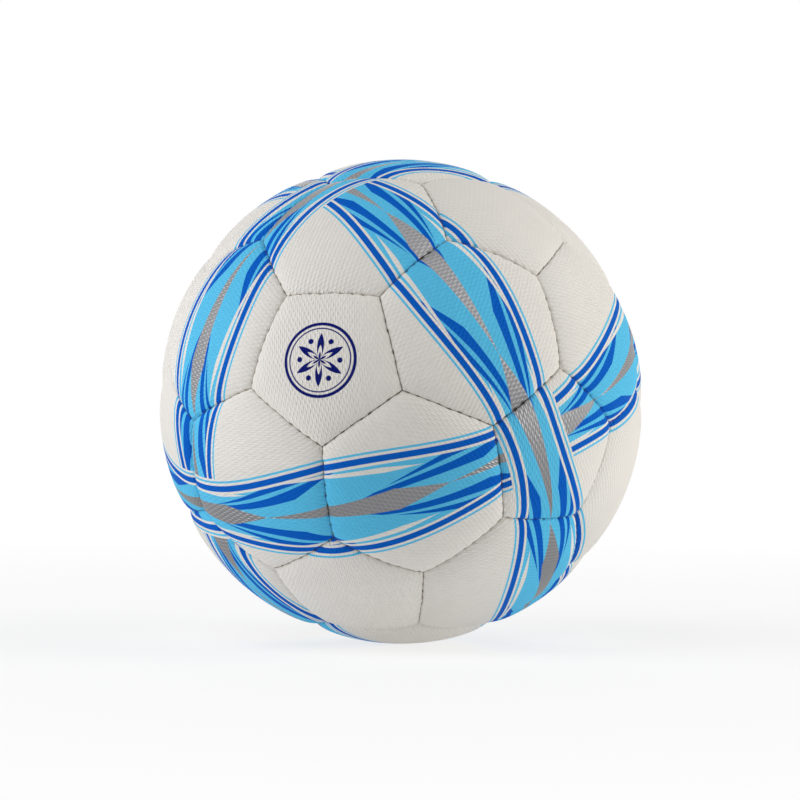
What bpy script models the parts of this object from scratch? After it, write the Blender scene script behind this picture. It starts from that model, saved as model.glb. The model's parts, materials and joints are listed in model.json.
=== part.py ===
"""A hand-sewn football: twelve pentagon and twenty hexagon panels over an air bladder.

Metres, +Z up. The ball's centre is the origin, and it rests on the middle of its lowest hexagon panel.
"""

import math

import bmesh
import bpy
from mathutils import Matrix, Vector

for old in list(bpy.data.objects):
    bpy.data.objects.remove(old, do_unlink=True)

# The ball as a whole
BALL_RADIUS = 0.1098
HEADING = math.radians(3.9)
REST_DIAMETER = 0.0086
CLEARANCE = 0.0003

# Panels, folded in at each side and sewn through the fold
PANEL_WALL = 0.0032
FOLD_RADIUS = 0.0024
FLANGE_REACH = 0.0043
FLANGE_WALL = 0.0024
SIDE_STEPS = 3

# Sewing thread
THREAD_THICKNESS = 0.0009

# Air bladder
BLADDER_WALL = 0.0008

# Valve, which sits in one hexagon panel
VALVE_HEAD_DIAMETER = 0.0090
VALVE_FLANGE_DIAMETER = 0.0260
VALVE_FLANGE_THICKNESS = 0.0015
VALVE_STEM_DIAMETER = 0.0120
VALVE_STEM_LENGTH = 0.0130
VALVE_SINK = 0.0004
CORE_DIAMETER = 0.0042
CORE_HEAD_DIAMETER = 0.0060
CORE_HEAD_THICKNESS = 0.0014
CORE_LENGTH = 0.0160
NEEDLE_HOLE_DIAMETER = 0.0014
NEEDLE_HOLE_DEPTH = 0.0050
WASHER_DIAMETER = 0.0280
WASHER_THICKNESS = 0.0010

# Sizes that follow from those above
thread_half = THREAD_THICKNESS / 2
channel_half = thread_half + CLEARANCE
channel_depth = FOLD_RADIUS + THREAD_THICKNESS + 2 * CLEARANCE
thread_top = BALL_RADIUS - FOLD_RADIUS - CLEARANCE
thread_end = thread_top - THREAD_THICKNESS
fold_start = channel_half + FOLD_RADIUS
inner_radius = BALL_RADIUS - PANEL_WALL
flange_end = min(inner_radius - FLANGE_REACH, BALL_RADIUS - channel_depth - 0.001)
side_angle = math.radians(23.28) / SIDE_STEPS
bladder_radius = flange_end * math.cos(side_angle / 2) - CLEARANCE
hole_radius = VALVE_HEAD_DIAMETER / 2 + CLEARANCE
valve_top = BALL_RADIUS - VALVE_SINK


def plain_material(name, colour, roughness):
    material = bpy.data.materials.new(name)
    material.use_nodes = True
    shader = material.node_tree.nodes["Principled BSDF"]
    shader.inputs["Base Color"].default_value = (*colour, 1.0)
    shader.inputs["Roughness"].default_value = roughness
    return material


def add_object(name, points, faces, material, place=None):
    mesh = bpy.data.meshes.new(name)
    mesh.from_pydata([tuple(point) for point in points], [], faces)
    tidy = bmesh.new()
    tidy.from_mesh(mesh)
    bmesh.ops.recalc_face_normals(tidy, faces=tidy.faces)
    tidy.to_mesh(mesh)
    tidy.free()
    mesh.materials.append(material)
    made = bpy.data.objects.new(name, mesh)
    if place is not None:
        made.matrix_world = place
    bpy.context.scene.collection.objects.link(made)
    return made


# The lattice of panels: an icosahedron with its corners cut back, one hexagon on top and one below
golden = (1 + math.sqrt(5)) / 2
upright = Vector((1, 1, 1)).rotation_difference(Vector((0, 0, 1))).to_matrix()
turn = Matrix.Rotation(HEADING, 3, "Z") @ upright

peaks = []
for first in (1, -1):
    for second in (golden, -golden):
        peaks.append(turn @ Vector((0, first, second)))
        peaks.append(turn @ Vector((first, second, 0)))
        peaks.append(turn @ Vector((second, 0, first)))


def next_to(one, other):
    return abs((peaks[one] - peaks[other]).length - 2) < 0.001


def around(centre, points):
    """The points in order round the centre, anticlockwise from outside."""
    side = centre.orthogonal().normalized()
    up = centre.normalized().cross(side)
    return sorted(points, key=lambda point: math.atan2(point.dot(up), point.dot(side)))


corner_numbers = {}
corners = []
for one in range(12):
    for other in range(12):
        if one != other and next_to(one, other):
            corner_numbers[(one, other)] = len(corners)
            corners.append(((2 * peaks[one] + peaks[other]) / 3).normalized())


def number_of(point):
    return min(range(len(corners)), key=lambda number: (corners[number] - point).length)


def by_height(centre):
    return (-round(centre.z, 4), round(math.atan2(centre.y, centre.x), 4))


pentagons = []
for one in range(12):
    ring = [corners[corner_numbers[(one, other)]] for other in range(12) if (one, other) in corner_numbers]
    pentagons.append((peaks[one].normalized(), ring))
pentagons.sort(key=lambda panel: by_height(panel[0]))

hexagons = []
for one in range(12):
    for two in range(one + 1, 12):
        for three in range(two + 1, 12):
            if next_to(one, two) and next_to(one, three) and next_to(two, three):
                centre = (peaks[one] + peaks[two] + peaks[three]).normalized()
                pairs = [(one, two), (two, one), (one, three), (three, one), (two, three), (three, two)]
                hexagons.append((centre, [corners[corner_numbers[pair]] for pair in pairs]))
hexagons.sort(key=lambda panel: by_height(panel[0]))

rest_panel = hexagons[-1][0]
valve_axis = max((panel[0] for panel in hexagons if panel[0].z > 0.1), key=lambda centre: centre.y)


def inside_seams(direction, normals, offset, radius):
    """The point at this radius that lies the offset inside the seam planes with these normals."""
    inward = normals[0].copy()
    if len(normals) == 2:
        inward = (normals[0] + normals[1]) / (1 + normals[0].dot(normals[1]))
    shift = inward * offset
    return direction * math.sqrt(radius ** 2 - shift.length_squared) + shift


def outline_of(ring):
    """Each point round a panel: its direction and the normals of the seam planes it is on."""
    count = len(ring)
    normals = [ring[k].cross(ring[(k + 1) % count]).normalized() for k in range(count)]
    found = []
    for k in range(count):
        found.append((ring[k], [normals[k - 1], normals[k]]))
        for step in range(1, SIDE_STEPS):
            share = step / SIDE_STEPS
            found.append((ring[k].slerp(ring[(k + 1) % count], share), [normals[k]]))
    return found


def add_panel(name, centre, ring, material, opening, flat):
    """A dished panel with its sewn flange; opening is a hole's radius and flat a resting face's radius."""
    edge = outline_of(around(centre, ring))
    count = len(edge)
    outer = [inside_seams(d, n, fold_start, BALL_RADIUS) for d, n in edge]
    slope = math.sqrt(0.5)
    flange_half = CLEARANCE / 2
    channel_floor = BALL_RADIUS - channel_depth
    profile = [
        (fold_start, BALL_RADIUS),
        (channel_half + FOLD_RADIUS * (1 - slope), BALL_RADIUS - FOLD_RADIUS * (1 - slope)),
        (channel_half, BALL_RADIUS - FOLD_RADIUS),
        (channel_half, channel_floor),
        (flange_half, channel_floor),
        (flange_half, flange_end),
        (flange_half + FLANGE_WALL, flange_end),
        (flange_half + FLANGE_WALL, inner_radius),
    ]
    rings = [[inside_seams(d, n, offset, radius) for d, n in edge] for offset, radius in profile]
    outer_middle = [(centre * BALL_RADIUS + point).normalized() * BALL_RADIUS for point in rings[0]]
    inner_middle = [(centre * inner_radius + point).normalized() * inner_radius for point in rings[-1]]
    rings = [outer_middle] + rings + [inner_middle]
    sideways = [(point - centre * point.dot(centre)).normalized() for point in outer]
    small = opening or flat
    if small:
        level = math.sqrt(BALL_RADIUS ** 2 - small ** 2)
        rings.insert(0, [centre * level + side * small for side in sideways])
    if opening:
        level = math.sqrt(inner_radius ** 2 - small ** 2)
        rings.append([centre * level + side * small for side in sideways])
    points = [point for each in rings for point in each]
    faces = []
    for band in range(len(rings) - 1):
        for k in range(count):
            far = (k + 1) % count
            low = band * count
            high = low + count
            faces.append((low + k, high + k, high + far, low + far))
    last = (len(rings) - 1) * count
    if opening:
        for k in range(count):
            far = (k + 1) % count
            faces.append((last + k, k, far, last + far))
    else:
        points.append(centre * (level if flat else BALL_RADIUS))
        points.append(centre * inner_radius)
        for k in range(count):
            far = (k + 1) % count
            faces.append((len(points) - 2, k, far))
            faces.append((len(points) - 1, last + far, last + k))
    add_object(name, points, faces, material)


# Panels, numbered from the top down and round the ball
for number, (centre, ring) in enumerate(pentagons, 1):
    name = f"pentagon_panel_{number:02d}"
    add_panel(name, centre, ring, plain_material(name, (0.72, 0.71, 0.68), 0.42), 0, 0)

for number, (centre, ring) in enumerate(hexagons, 1):
    name = f"hexagon_panel_{number:02d}"
    opening = hole_radius if (centre - valve_axis).length < 0.01 else 0
    flat = REST_DIAMETER / 2 if (centre - rest_panel).length < 0.01 else 0
    add_panel(name, centre, ring, plain_material(name, (0.16, 0.47, 0.76), 0.42), opening, flat)


# Seams: the half of the ball that each panel is in, and the panels on both sides of each seam
seam_sides = {}
corner_panels = {number: [] for number in range(len(corners))}
for centre, ring in pentagons + hexagons:
    ordered = [number_of(point) for point in around(centre, ring)]
    for k, number in enumerate(ordered):
        after = ordered[(k + 1) % len(ordered)]
        seam_sides.setdefault(frozenset((number, after)), []).append(centre)
        corner_panels[number].append(centre)


def seam_kind(seam):
    heights = [centre.z > 0 for centre in seam_sides[seam]]
    if all(heights):
        return "upper"
    if any(heights):
        return "closing"
    return "lower"


def plane_toward(seam, centre):
    """The normal of the seam's plane that points to the panel with this centre."""
    one, other = (corners[number] for number in seam)
    normal = one.cross(other).normalized()
    return normal if normal.dot(centre) > 0 else -normal


def add_thread(name, kind, material):
    """One thread as a bar of square section along its seams, mitred where seams meet."""
    seams = [seam for seam in seam_sides if seam_kind(seam) == kind]
    points = []
    faces = []
    joints = {}

    def pair(direction, normals, offset):
        points.append(inside_seams(direction, normals, offset, thread_top))
        points.append(inside_seams(direction, normals, offset, thread_end))
        return len(points) - 2

    def end_of(number, seam, centre):
        """The upper and lower point of the bar's end at this corner, on the side of this panel."""
        here = [other for other in seams if number in other]
        if len(here) == 1:
            other_corner = next(iter(seam - {number}))
            reach = (0.6 * THREAD_THICKNESS + CLEARANCE) / thread_top
            share = reach / corners[number].angle(corners[other_corner])
            direction = corners[number].slerp(corners[other_corner], share)
            return pair(direction, [plane_toward(seam, centre)], thread_half)
        beside = [other for other in here if centre in seam_sides[other]]
        if len(beside) == 2:
            key = (number, tuple(round(value, 4) for value in centre))
            normals = [plane_toward(other, centre) for other in beside]
            if key not in joints:
                joints[key] = pair(corners[number], normals, thread_half)
            return joints[key]
        shared = next(middle for middle in corner_panels[number] if all(middle in seam_sides[o] for o in here))
        normals = [-plane_toward(other, shared) for other in here]
        key = (number, "outer")
        if key not in joints:
            joints[key] = pair(corners[number], normals, thread_half)
        return joints[key]

    for seam in seams:
        one, other = sorted(seam)
        left, right = seam_sides[seam]
        stations = [(end_of(one, seam, left), end_of(one, seam, right))]
        for step in range(1, SIDE_STEPS):
            direction = corners[one].slerp(corners[other], step / SIDE_STEPS)
            on_left = pair(direction, [plane_toward(seam, left)], thread_half)
            on_right = pair(direction, [plane_toward(seam, right)], thread_half)
            stations.append((on_left, on_right))
        stations.append((end_of(other, seam, left), end_of(other, seam, right)))
        for (a, b), (c, d) in zip(stations, stations[1:]):
            faces.append((a, b, d, c))
            faces.append((b, b + 1, d + 1, d))
            faces.append((b + 1, a + 1, c + 1, d + 1))
            faces.append((a + 1, a, c, c + 1))
        for number, (a, b) in ((one, stations[0]), (other, stations[-1])):
            if sum(number in each for each in seams) == 1:
                faces.append((a, b, b + 1, a + 1))
    for number in range(len(corners)):
        meeting = [seam for seam in seams if number in seam]
        if len(meeting) == 3:
            keys = [(number, tuple(round(value, 4) for value in centre)) for centre in corner_panels[number]]
            faces.append(tuple(joints[key] for key in keys))
            faces.append(tuple(joints[key] + 1 for key in reversed(keys)))
    add_object(name, points, faces, material)


for kind in ("upper", "lower", "closing"):
    name = f"seam_thread_{kind}"
    add_thread(name, kind, plain_material(name, (0.60, 0.55, 0.45), 0.75))


# Pieces turned about the valve's axis, each from a closed outline of radius and height
across = valve_axis.cross(Vector((0, 0, 1))).normalized()
upward = valve_axis.cross(across)
valve_frame = Matrix((across, upward, valve_axis)).transposed().to_4x4()
if valve_frame.determinant() < 0:
    valve_frame = Matrix((upward, across, valve_axis)).transposed().to_4x4()


def add_turned(name, outline, steps, material, origin=0.0):
    points = []
    rows = []
    for radius, height in outline:
        if radius == 0:
            points.append(Vector((0, 0, height - origin)))
            rows.append([len(points) - 1] * steps)
            continue
        row = []
        for step in range(steps):
            angle = 2 * math.pi * step / steps
            points.append(Vector((radius * math.cos(angle), radius * math.sin(angle), height - origin)))
            row.append(len(points) - 1)
        rows.append(row)
    closed = outline[0][0] != 0
    faces = []
    for k in range(len(rows) if closed else len(rows) - 1):
        lower = rows[k]
        upper = rows[(k + 1) % len(rows)]
        for step in range(steps):
            far = (step + 1) % steps
            corner = []
            for number in (lower[step], lower[far], upper[far], upper[step]):
                if number not in corner:
                    corner.append(number)
            faces.append(tuple(corner))
    place = valve_frame @ Matrix.Translation((0, 0, origin))
    return add_object(name, points, faces, material, place)


def on_ball(radius, ball):
    return (radius, math.sqrt(ball ** 2 - radius ** 2))


# Bladder: a thin hollow ball, open where the valve's stem goes through
stem_radius = VALVE_STEM_DIAMETER / 2
neck = stem_radius + CLEARANCE
inside = bladder_radius - BLADDER_WALL
BLADDER_STEPS = 15
outline = []
start = math.asin(neck / bladder_radius)
for step in range(BLADDER_STEPS):
    angle = start + (math.pi - start) * step / BLADDER_STEPS
    outline.append((bladder_radius * math.sin(angle), bladder_radius * math.cos(angle)))
outline.append((0, -bladder_radius))
start = math.asin(neck / inside)
hollow = []
for step in range(BLADDER_STEPS):
    angle = start + (math.pi - start) * step / BLADDER_STEPS
    hollow.append((inside * math.sin(angle), inside * math.cos(angle)))
hollow.append((0, -inside))
outline = list(reversed(outline)) + hollow
add_turned("bladder", outline, 30, plain_material("bladder", (0.03, 0.03, 0.03), 0.6))

# Valve body: a rubber moulding with a flange on the bladder, a stem inside it and a neck through the panel
bore = CORE_DIAMETER / 2 + CLEARANCE
seat_radius = CORE_HEAD_DIAMETER / 2 + CLEARANCE
seat_height = valve_top - CORE_HEAD_THICKNESS - CLEARANCE
flange_under = bladder_radius + CLEARANCE
flange_over = flange_under + VALVE_FLANGE_THICKNESS
flange_radius = VALVE_FLANGE_DIAMETER / 2
middle_radius = (stem_radius + flange_radius) / 2
stem_foot = bladder_radius - VALVE_STEM_LENGTH
head_radius = VALVE_HEAD_DIAMETER / 2
outline = [
    (bore, stem_foot),
    (stem_radius, stem_foot),
    on_ball(stem_radius, flange_under),
    on_ball(middle_radius, flange_under),
    on_ball(flange_radius, flange_under),
    on_ball(flange_radius - VALVE_FLANGE_THICKNESS / 3, flange_over),
    on_ball(middle_radius, flange_over),
    on_ball(head_radius, flange_over),
    (head_radius, valve_top),
    (seat_radius, valve_top),
    (seat_radius, seat_height),
    (bore, seat_height),
]
add_turned("valve_body", outline, 24, plain_material("valve_body", (0.02, 0.02, 0.02), 0.55))

# Valve core: a rubber plug with a blind needle hole, which pulls out along the axis
core_radius = CORE_DIAMETER / 2
core_head = CORE_HEAD_DIAMETER / 2
needle = NEEDLE_HOLE_DIAMETER / 2
core_shoulder = seat_height + CLEARANCE
outline = [
    (0, valve_top - CORE_LENGTH),
    (core_radius * 0.6, valve_top - CORE_LENGTH),
    (core_radius, valve_top - CORE_LENGTH + core_radius * 0.5),
    (core_radius, core_shoulder),
    (core_head, core_shoulder),
    (core_head, valve_top),
    (needle, valve_top),
    (needle, valve_top - NEEDLE_HOLE_DEPTH),
    (0, valve_top - NEEDLE_HOLE_DEPTH),
]
add_turned("valve_core", outline, 16, plain_material("valve_core", (0.05, 0.05, 0.05), 0.5), valve_top)

# Washer: a cloth ring glued behind the valve's panel, round the hole
washer_radius = WASHER_DIAMETER / 2
washer_top = inner_radius - CLEARANCE - 0.0002
washer_under = washer_top - WASHER_THICKNESS
washer_middle = (hole_radius + washer_radius) / 2
outline = [
    on_ball(hole_radius, washer_under),
    on_ball(washer_middle, washer_under),
    on_ball(washer_radius, washer_under),
    on_ball(washer_radius, washer_top),
    on_ball(washer_middle, washer_top),
    on_ball(hole_radius, washer_top),
]
add_turned("valve_washer", outline, 24, plain_material("valve_washer", (0.55, 0.52, 0.45), 0.9))
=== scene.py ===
import json
import math

import bmesh
import bpy
from mathutils import Matrix, Vector


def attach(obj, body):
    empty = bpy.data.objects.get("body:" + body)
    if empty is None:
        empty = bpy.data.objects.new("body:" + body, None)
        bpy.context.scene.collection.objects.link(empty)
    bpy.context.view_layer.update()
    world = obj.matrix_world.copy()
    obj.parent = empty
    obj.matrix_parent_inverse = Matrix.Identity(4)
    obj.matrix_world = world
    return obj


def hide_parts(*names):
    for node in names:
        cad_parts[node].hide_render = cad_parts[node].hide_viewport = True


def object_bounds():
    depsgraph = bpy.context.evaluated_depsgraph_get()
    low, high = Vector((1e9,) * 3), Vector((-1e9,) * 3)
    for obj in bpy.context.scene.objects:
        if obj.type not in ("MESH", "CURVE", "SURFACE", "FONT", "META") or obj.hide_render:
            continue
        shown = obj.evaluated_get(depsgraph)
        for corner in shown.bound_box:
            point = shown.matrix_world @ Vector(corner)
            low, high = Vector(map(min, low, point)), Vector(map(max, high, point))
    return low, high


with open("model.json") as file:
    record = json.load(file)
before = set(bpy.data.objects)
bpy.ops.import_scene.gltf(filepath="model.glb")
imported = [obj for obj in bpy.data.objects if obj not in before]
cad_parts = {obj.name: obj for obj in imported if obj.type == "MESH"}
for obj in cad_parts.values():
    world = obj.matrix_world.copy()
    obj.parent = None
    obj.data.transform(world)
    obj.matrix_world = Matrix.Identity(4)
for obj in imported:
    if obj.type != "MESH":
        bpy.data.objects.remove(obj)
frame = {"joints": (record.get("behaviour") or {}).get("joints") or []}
cad_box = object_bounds()

# Air bladder
# A thin hollow ball of black butyl rubber, moulded in two halves, which holds the air.
# It fills the sewn cover, and is open only at its neck, where the valve's stem is bonded in.
BLADDER_RADIUS = 0.10176
BLADDER_WALL = 0.0008
BLADDER_SIDES = 96
BLADDER_ROWS = 48
NECK_RADIUS = 0.0063
WELD_DISTANCE = 0.000001
BUTYL_BLACK = (0.020, 0.020, 0.021)
BUTYL_PEBBLE = 0.00004
RUBBER_BLOOM = (0.110, 0.108, 0.104)
BLOOM_SCALE = 140.0
BLOOM_DETAIL = 5.0
BLOOM_BAND = (0.45, 0.75)
BLOOM_SHARE = 0.6
RUBBER_DULLING = (0.3, 0.7)
RUBBER_ROUGHNESS = (0.45, 0.70)
PEBBLE_SCALE = 2200.0
PEBBLE_DETAIL = 2.0

valve_axis = Vector(frame["joints"][0]["axis"])
valve_side = valve_axis.orthogonal().normalized()
valve_turn = Matrix((valve_side, valve_axis.cross(valve_side), valve_axis)).transposed()


def put(tree, kind, *values, **settings):
    """A new node with its settings, its inputs in order given a number or another node's output."""
    made = tree.nodes.new(kind)
    for name, value in settings.items():
        setattr(made, name, value)
    for place, value in zip(made.inputs, values):
        if isinstance(value, bpy.types.NodeSocket):
            tree.links.new(value, place)
        elif value is not None:
            place.default_value = value
    return made


def maths(tree, operation, *values):
    return put(tree, "ShaderNodeMath", *values, operation=operation).outputs[0]


def ranged(tree, value, band, results):
    """The value carried from its band to the two results, and held at them beyond it."""
    return put(tree, "ShaderNodeMapRange", value, *band, *results).outputs[0]


def noise(tree, place, scale, detail):
    return put(tree, "ShaderNodeTexNoise", place, None, scale, detail).outputs[0]


MASK_SOCKET = 0
UNDER_SOCKET = 6
OVER_SOCKET = 7
MIXED_SOCKET = 2


def ink(tree, under, mask, over):
    """One colour laid over another where the mask is one."""
    mixed = put(tree, "ShaderNodeMix", data_type="RGBA")
    for place, value in ((MASK_SOCKET, mask), (UNDER_SOCKET, under), (OVER_SOCKET, over)):
        if isinstance(value, bpy.types.NodeSocket):
            tree.links.new(value, mixed.inputs[place])
        else:
            mixed.inputs[place].default_value = (*value, 1.0)
    return mixed.outputs[MIXED_SOCKET]


def new_finish(name):
    """A new material, with its tree, its shader and the place on the piece."""
    finish = bpy.data.materials.new(name)
    finish.use_nodes = True
    tree = finish.node_tree
    place = put(tree, "ShaderNodeTexCoord").outputs["Object"]
    return finish, tree, tree.nodes["Principled BSDF"], place


def raise_surface(tree, shader, height, depth):
    bump = put(tree, "ShaderNodeBump", 1.0, depth)
    tree.links.new(height, bump.inputs["Height"])
    tree.links.new(bump.outputs[0], shader.inputs["Normal"])


def rubber(name, colour, pebble):
    """Moulded rubber with a dusty bloom in places over a pebbled skin of this depth."""
    finish, tree, shader, place = new_finish(name)
    dust = noise(tree, place, BLOOM_SCALE, BLOOM_DETAIL)
    share = ranged(tree, dust, BLOOM_BAND, (0.0, BLOOM_SHARE))
    tree.links.new(ink(tree, colour, share, RUBBER_BLOOM), shader.inputs["Base Color"])
    tree.links.new(ranged(tree, dust, RUBBER_DULLING, RUBBER_ROUGHNESS), shader.inputs["Roughness"])
    pebbles = noise(tree, place, PEBBLE_SCALE, PEBBLE_DETAIL)
    raise_surface(tree, shader, pebbles, pebble)
    return finish


def turned(name, outline, sides, finish):
    """An object turned about the valve's axis from an outline of radius and height.

    The outline is closed unless it starts on the axis.
    """
    shape = bmesh.new()
    rows = []
    for radius, height in outline:
        row = []
        for side in range(sides):
            angle = 2 * math.pi * side / sides
            spot = Vector((radius * math.cos(angle), radius * math.sin(angle), height))
            row.append(shape.verts.new(valve_turn @ spot))
        rows.append(row)
    pairs = list(zip(rows, rows[1:]))
    if outline[0][0] > 0:
        pairs.append((rows[-1], rows[0]))
    for row, after in pairs:
        for side in range(sides):
            shape.faces.new((row[side - 1], row[side], after[side], after[side - 1]))
    bmesh.ops.remove_doubles(shape, verts=shape.verts, dist=WELD_DISTANCE)
    bmesh.ops.recalc_face_normals(shape, faces=shape.faces)
    mesh = bpy.data.meshes.new(name)
    shape.to_mesh(mesh)
    shape.free()
    mesh.shade_smooth()
    mesh.materials.append(finish)
    return add_piece(name, mesh)


def add_piece(name, data):
    piece = bpy.data.objects.new(name, data)
    bpy.context.scene.collection.objects.link(piece)
    return piece


def arc(radius, first, last, steps):
    """Points of radius and height on a ball of this radius, between two angles from the axis."""
    found = []
    for step in range(steps + 1):
        angle = first + (last - first) * step / steps
        found.append((radius * math.sin(angle), radius * math.cos(angle)))
    return found


butyl = rubber("butyl rubber", BUTYL_BLACK, BUTYL_PEBBLE)
inside = BLADDER_RADIUS - BLADDER_WALL
outer_skin = arc(BLADDER_RADIUS, math.pi, math.asin(NECK_RADIUS / BLADDER_RADIUS), BLADDER_ROWS)
inner_skin = arc(inside, math.asin(NECK_RADIUS / inside), math.pi, BLADDER_ROWS)
bladder = turned("bladder_shell", outer_skin + inner_skin, BLADDER_SIDES, butyl)
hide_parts("bladder")
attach(bladder, "ball")

# Valve body
# One moulding of soft black rubber: a flange bonded to the bladder, a stem inside it and a neck
# up through the cover. The neck's rim is all that shows, just under the face of the panel round it.
VALVE_TOP = 0.1094
VALVE_SIDES = 64
VALVE_EASE = 0.0004
BORE_RADIUS = 0.0024
STEM_RADIUS = 0.0060
STEM_FOOT = 0.08877
HEAD_RADIUS = 0.0045
SEAT_RADIUS = 0.0033
SEAT_HEIGHT = 0.1077
FLANGE_UNDER = 0.10207
FLANGE_OVER = 0.10357
FLANGE_RADIUS = 0.0130
FLANGE_TAPER = 0.0005
EASE_STEPS = 4
EASE_LIMIT = 0.45
VALVE_BLACK = (0.024, 0.024, 0.026)
VALVE_PEBBLE = 0.00002


def on_ball(radius, ball):
    return (radius, math.sqrt(ball ** 2 - radius ** 2))


def eased(outline, reach):
    """The outline with its corners rounded off over this reach, apart from points on the axis."""
    corners = [Vector(point) for point in outline]
    smooth = []
    for k, corner in enumerate(corners):
        if corner.x == 0:
            smooth.append(corner)
            continue
        before = corners[k - 1] - corner
        after = corners[(k + 1) % len(corners)] - corner
        start = corner + before * min(reach / before.length, EASE_LIMIT)
        end = corner + after * min(reach / after.length, EASE_LIMIT)
        for step in range(EASE_STEPS + 1):
            share = step / EASE_STEPS
            smooth.append(start.lerp(corner, share).lerp(corner.lerp(end, share), share))
    return smooth


valve_outline = [
    (BORE_RADIUS, STEM_FOOT),
    (STEM_RADIUS, STEM_FOOT),
    on_ball(STEM_RADIUS, FLANGE_UNDER),
    on_ball(FLANGE_RADIUS, FLANGE_UNDER),
    on_ball(FLANGE_RADIUS - FLANGE_TAPER, FLANGE_OVER),
    on_ball(HEAD_RADIUS, FLANGE_OVER),
    (HEAD_RADIUS, VALVE_TOP),
    (SEAT_RADIUS, VALVE_TOP),
    (SEAT_RADIUS, SEAT_HEIGHT),
    (BORE_RADIUS, SEAT_HEIGHT),
]
valve_rubber = rubber("valve rubber", VALVE_BLACK, VALVE_PEBBLE)
valve_body = turned("valve_body_moulding", eased(valve_outline, VALVE_EASE), VALVE_SIDES, valve_rubber)
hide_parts("valve_body")
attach(valve_body, "ball")

# Valve core
# A plug of grey-black rubber pressed into the valve body, with a blind hole that leads in
# the pump's needle. It pulls straight out along the valve's axis when it is changed.
CORE_RADIUS = 0.0021
CORE_TIP_RADIUS = 0.00126
CORE_SIDES = 48
CORE_EASE = 0.0003
CORE_HEAD_RADIUS = 0.0030
CORE_SHOULDER = 0.1080
CORE_LENGTH = 0.0160
NEEDLE_RADIUS = 0.0007
NEEDLE_DEPTH = 0.0050
NEEDLE_LEAD = 0.0002
CORE_GREY = (0.050, 0.050, 0.052)

core_foot = VALVE_TOP - CORE_LENGTH
core_outline = [
    (0, core_foot),
    (CORE_TIP_RADIUS, core_foot),
    (CORE_RADIUS, core_foot + CORE_RADIUS / 2),
    (CORE_RADIUS, CORE_SHOULDER),
    (CORE_HEAD_RADIUS, CORE_SHOULDER),
    (CORE_HEAD_RADIUS, VALVE_TOP),
    (NEEDLE_RADIUS, VALVE_TOP - NEEDLE_LEAD),
    (NEEDLE_RADIUS, VALVE_TOP - NEEDLE_DEPTH),
    (0, VALVE_TOP - NEEDLE_DEPTH),
]
core_rubber = rubber("core rubber", CORE_GREY, VALVE_PEBBLE)
valve_core = turned("valve_core_plug", eased(core_outline, CORE_EASE), CORE_SIDES, core_rubber)
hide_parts("valve_core")
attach(valve_core, "valve_plug")

# Valve washer
# A flat ring of woven cotton, cut from sheet and glued behind the valve's panel,
# so that the hole there doesn't tear.
WASHER_HOLE = 0.0048
WASHER_RADIUS = 0.0140
WASHER_OVER = 0.1061
WASHER_UNDER = 0.1051
WASHER_SIDES = 64
WASHER_EASE = 0.0003
COTTON_IN_SHADE = (0.46, 0.42, 0.34)
COTTON_PALE = (0.64, 0.60, 0.51)
COTTON_ROUGHNESS = 0.85
WEAVE_DEPTH = 0.00010
WASHER_THREADS = 1600.0


def woven(tree, shader, across, along, threads):
    """Plain weave in two directions, so many threads to a unit, with painted shade where the yarn dips.
    """
    warp = maths(tree, "SINE", maths(tree, "MULTIPLY", across, math.pi * threads))
    weft = maths(tree, "SINE", maths(tree, "MULTIPLY", along, math.pi * threads))
    weave = maths(tree, "MULTIPLY", warp, weft)
    height = ranged(tree, weave, (-1.0, 1.0), (0.0, 1.0))
    # Painted shade: the yarn's colour is darker where the weave is low
    tree.links.new(ink(tree, COTTON_IN_SHADE, height, COTTON_PALE), shader.inputs["Base Color"])
    shader.inputs["Roughness"].default_value = COTTON_ROUGHNESS
    raise_surface(tree, shader, weave, WEAVE_DEPTH)


washer_cloth, tree, shader, place = new_finish("washer cloth")
spread = put(tree, "ShaderNodeSeparateXYZ", place).outputs
woven(tree, shader, spread[0], spread[2], WASHER_THREADS)
washer_outline = [
    on_ball(WASHER_HOLE, WASHER_UNDER),
    on_ball(WASHER_RADIUS, WASHER_UNDER),
    on_ball(WASHER_RADIUS, WASHER_OVER),
    on_ball(WASHER_HOLE, WASHER_OVER),
]
washer = turned("valve_washer_ring", eased(washer_outline, WASHER_EASE), WASHER_SIDES, washer_cloth)
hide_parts("valve_washer")
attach(washer, "ball")

# Pattern of the panels
# A sewn football is an icosahedron with its corners cut back: twelve pentagons and twenty hexagons.
# One hexagon lies on the floor and one on top, and the ball is turned a little about its upright axis.
BALL_RADIUS = 0.1098
HEADING = math.radians(3.9)
PEAK_SPACING = 2
SPACING_SLACK = 0.001

golden = (1 + math.sqrt(5)) / 2
upright = Vector((1, 1, 1)).rotation_difference(Vector((0, 0, 1))).to_matrix()
ball_turn = Matrix.Rotation(HEADING, 3, "Z") @ upright
peaks = []
for first in (1, -1):
    for second in (golden, -golden):
        peaks.append(ball_turn @ Vector((0, first, second)))
        peaks.append(ball_turn @ Vector((first, second, 0)))
        peaks.append(ball_turn @ Vector((second, 0, first)))


def touching(one, other):
    apart = (peaks[one] - peaks[other]).length
    return one != other and abs(apart - PEAK_SPACING) < SPACING_SLACK


def cut_corner(one, other):
    return ((2 * peaks[one] + peaks[other]) / 3).normalized()


def in_order(centre, ring):
    """The corners round a panel, anticlockwise from outside."""
    side = centre.orthogonal().normalized()
    up = centre.cross(side)
    return sorted(ring, key=lambda corner: math.atan2(corner.dot(up), corner.dot(side)))


def from_the_top(panel):
    centre = panel[0]
    return (-round(centre.z, 4), round(math.atan2(centre.y, centre.x), 4))


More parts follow.
